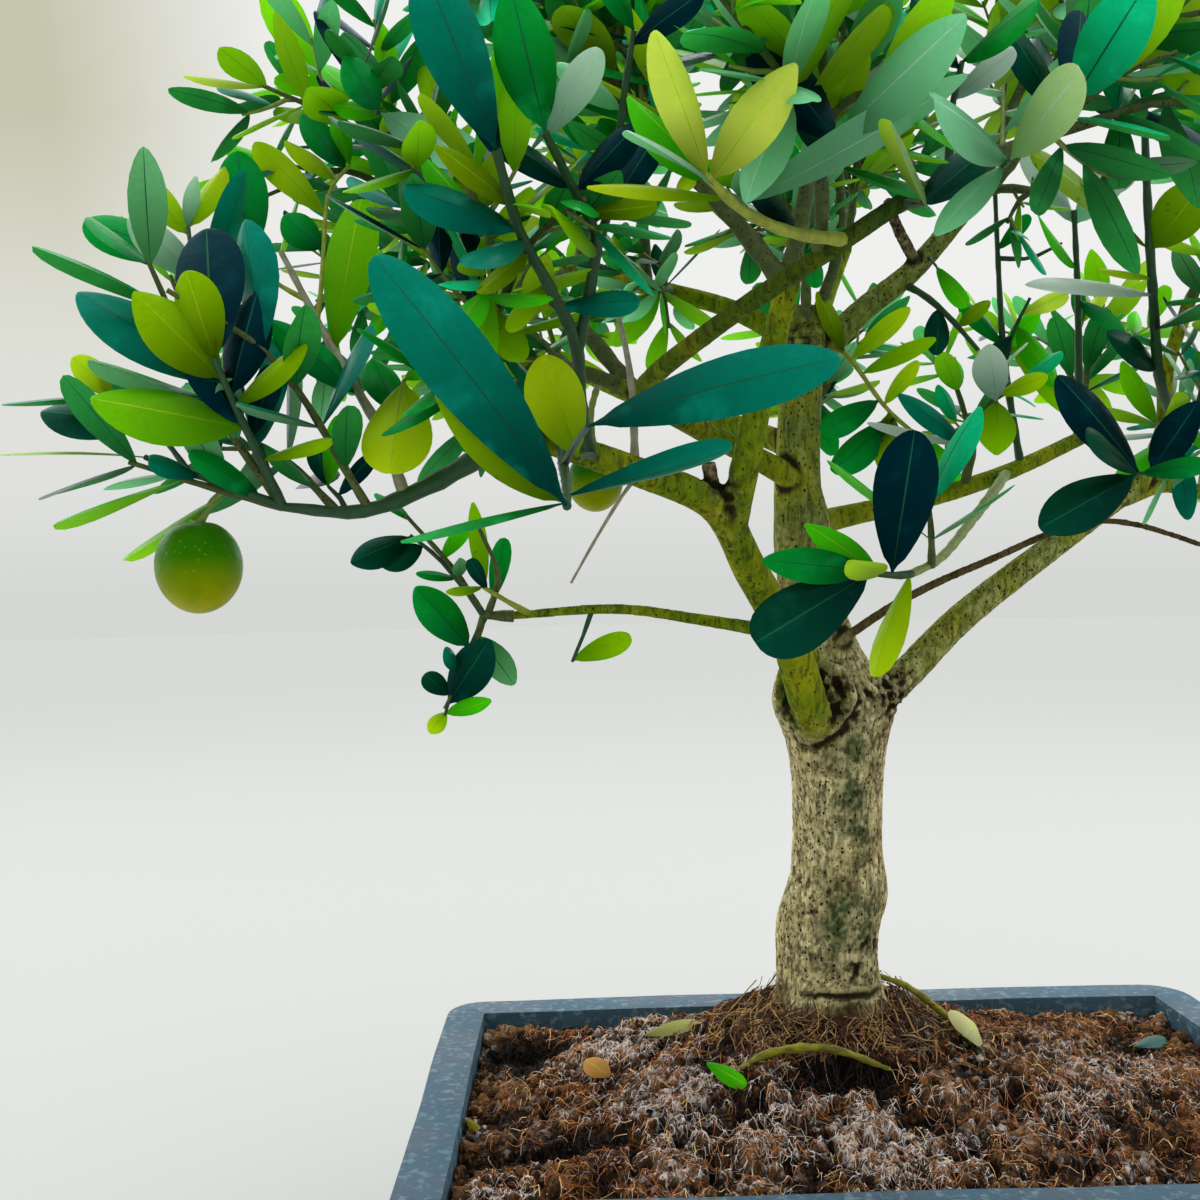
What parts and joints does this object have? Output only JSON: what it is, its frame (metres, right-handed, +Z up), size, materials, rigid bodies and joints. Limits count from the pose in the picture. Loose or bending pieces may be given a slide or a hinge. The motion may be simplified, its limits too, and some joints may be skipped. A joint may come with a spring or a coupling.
{
  "type": "potted olive bonsai",
  "caption": "Small olive tree with a thick forked trunk, an open leafy crown and green fruit, in a low rectangular blue glazed pot.",
  "frame": {"origin": "centre of the pot's flat underside", "axes": "+Z up the trunk, +X along the pot's long side to the right, +Y to the back"},
  "size_m": [0.4202, 0.3334, 0.4617],
  "materials": {
    "glaze": "satin",
    "soil": "matte",
    "bark": "matte",
    "bough_bark": "matte",
    "foliage": "satin"
  },
  "bodies": {
    "root": {"pot": "glaze", "soil": "soil", "trunk": "bark", "bough_left": "bough_bark", "bough_front_upright": "bough_bark", "bough_right": "bough_bark", "bough_right_outer": "bough_bark", "bough_right_rising": "bough_bark", "bough_right_back": "bough_bark", "bough_left_mid": "bough_bark", "bough_front_crossing": "bough_bark", "bough_left_low": "bough_bark", "bough_left_high": "bough_bark", "bough_right_high": "bough_bark", "bough_back": "bough_bark", "bough_back_left": "bough_bark", "bough_back_high": "bough_bark", "thin_shoot_right": "bough_bark", "stub_left_fork": "bough_bark", "stub_right_high": "bough_bark", "surface_root_front": "bough_bark", "surface_root_right": "bough_bark", "foliage_left_tip": "foliage", "foliage_left_low": "foliage", "foliage_left_mid": "foliage", "foliage_left_upper": "foliage", "foliage_left_back": "foliage", "foliage_front_left": "foliage", "foliage_front_centre": "foliage", "foliage_front_right": "foliage", "foliage_front_upper": "foliage", "foliage_front_left_upper": "foliage", "foliage_right_front_low": "foliage", "foliage_right_front": "foliage", "foliage_right_mid": "foliage", "foliage_right_outer": "foliage", "foliage_right_high": "foliage", "foliage_right_back": "foliage", "foliage_right_upper": "foliage", "foliage_front_high": "foliage", "foliage_back": "foliage", "foliage_back_left": "foliage", "foliage_back_high": "foliage", "foliage_back_left_high": "foliage", "foliage_left_high": "foliage", "foliage_top": "foliage"}
  },
  "joints": []
}
